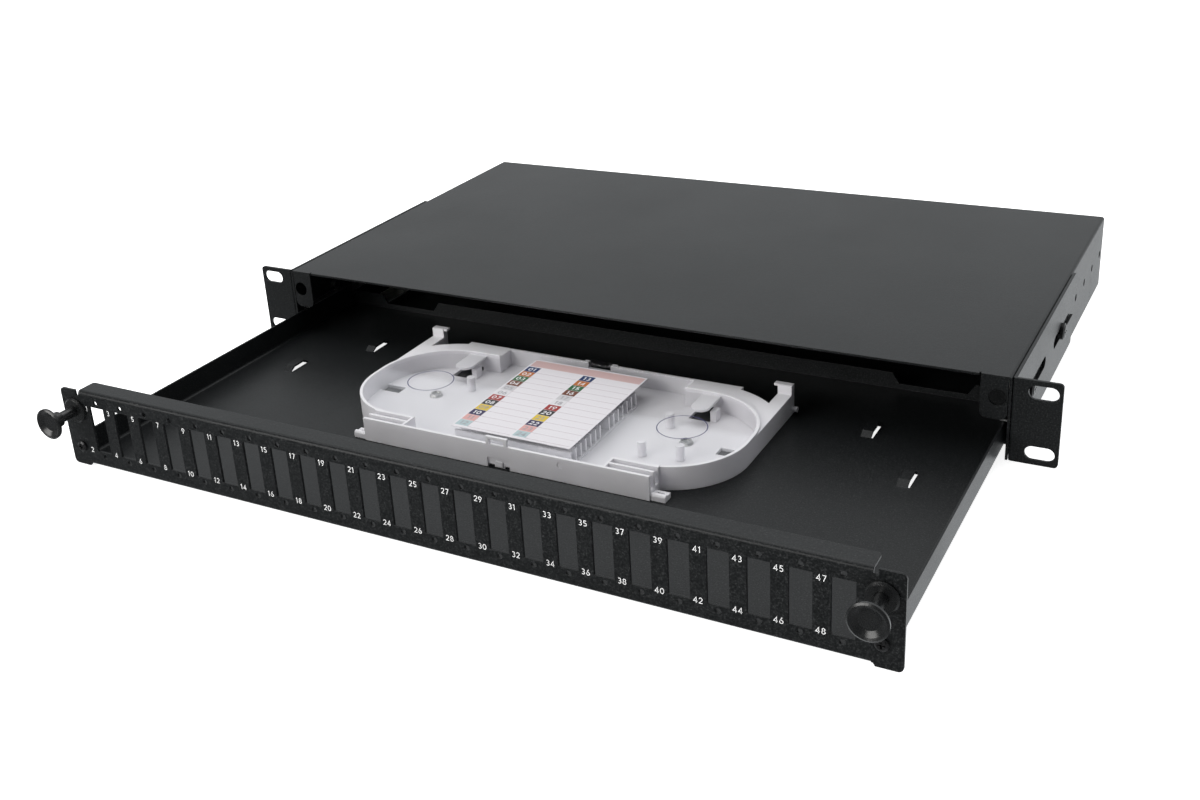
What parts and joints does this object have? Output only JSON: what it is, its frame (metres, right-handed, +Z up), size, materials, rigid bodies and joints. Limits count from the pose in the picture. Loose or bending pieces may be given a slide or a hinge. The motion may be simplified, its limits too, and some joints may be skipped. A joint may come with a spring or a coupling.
{
  "type": "fibre termination box",
  "caption": "Rack-mounted sliding fibre termination box: shallow black housing with ears, pull-out drawer with adapter windows, plunger latches and a lidded white splice tray.",
  "frame": {"origin": "centre of the four rack slots, on the front face of the rack ears", "axes": "+X to the right of someone facing the front, +Y to the rear, +Z up"},
  "size_m": [0.4826, 0.4742, 0.044],
  "materials": {
    "black_powder": "fine satin black powder coat with a slight orange peel",
    "black_screw": "black finished screw steel",
    "black_rivet": "rivet painted over with the powder coat",
    "zinc": "zinc plated steel",
    "white_nylon": "natural nylon slide strip",
    "black_nylon": "glossy black nylon",
    "black_rubber": "soft black sealing rubber",
    "white_abs": "white moulded plastic with a light sheen",
    "clear_lid": "clear moulded lid",
    "card": "printed index card with numbered colour cells"
  },
  "bodies": {
    "housing": {"housing_cover": "black_powder", "housing_base": "black_powder", "rack_ear_left": "black_powder", "rack_ear_right": "black_powder", "ear_screws": "black_screw", "ear_nuts": "zinc", "guide_rail_left": "zinc", "guide_rail_right": "zinc", "frame_rivets": "black_rivet", "glide_strip_left": "white_nylon", "glide_strip_right": "white_nylon", "gland_body_left": "black_nylon", "gland_nut_left": "black_nylon", "gland_body_right": "black_nylon", "gland_nut_right": "black_nylon", "gland_seals": "black_rubber", "gland_locknuts": "black_nylon", "blank_plugs": "black_nylon"},
    "drawer": {"drawer_tray": "black_powder", "front_panel": "black_powder", "panel_screws": "black_screw", "panel_nuts": "zinc", "latch_grommet_left": "black_nylon", "latch_grommet_right": "black_nylon", "splice_tray": "white_abs", "splice_comb": "white_abs", "tray_studs": "zinc", "tray_nuts": "zinc"},
    "lid": {"splice_tray_lid": "clear_lid", "index_card": "card"},
    "plunger_left": {"latch_plunger_left": "black_nylon"},
    "plunger_right": {"latch_plunger_right": "black_nylon"}
  },
  "joints": [
    {"name": "drawer_slide", "type": "slide", "parent": "housing", "child": "drawer", "axis": [0, 1, 0], "range_m": [0, 0.172]},
    {"name": "lid_hinge", "type": "hinge", "parent": "drawer", "child": "lid", "pos_m": [-0.0035, 0.00155, -0.0086], "axis": [1, 0, 0], "range_deg": [-12, 0]},
    {"name": "latch_left_push", "type": "slide", "parent": "drawer", "child": "plunger_left", "axis": [0, 1, 0], "range_m": [0, 0.0088]},
    {"name": "latch_right_push", "type": "slide", "parent": "drawer", "child": "plunger_right", "axis": [0, 1, 0], "range_m": [0, 0.0088]}
  ]
}
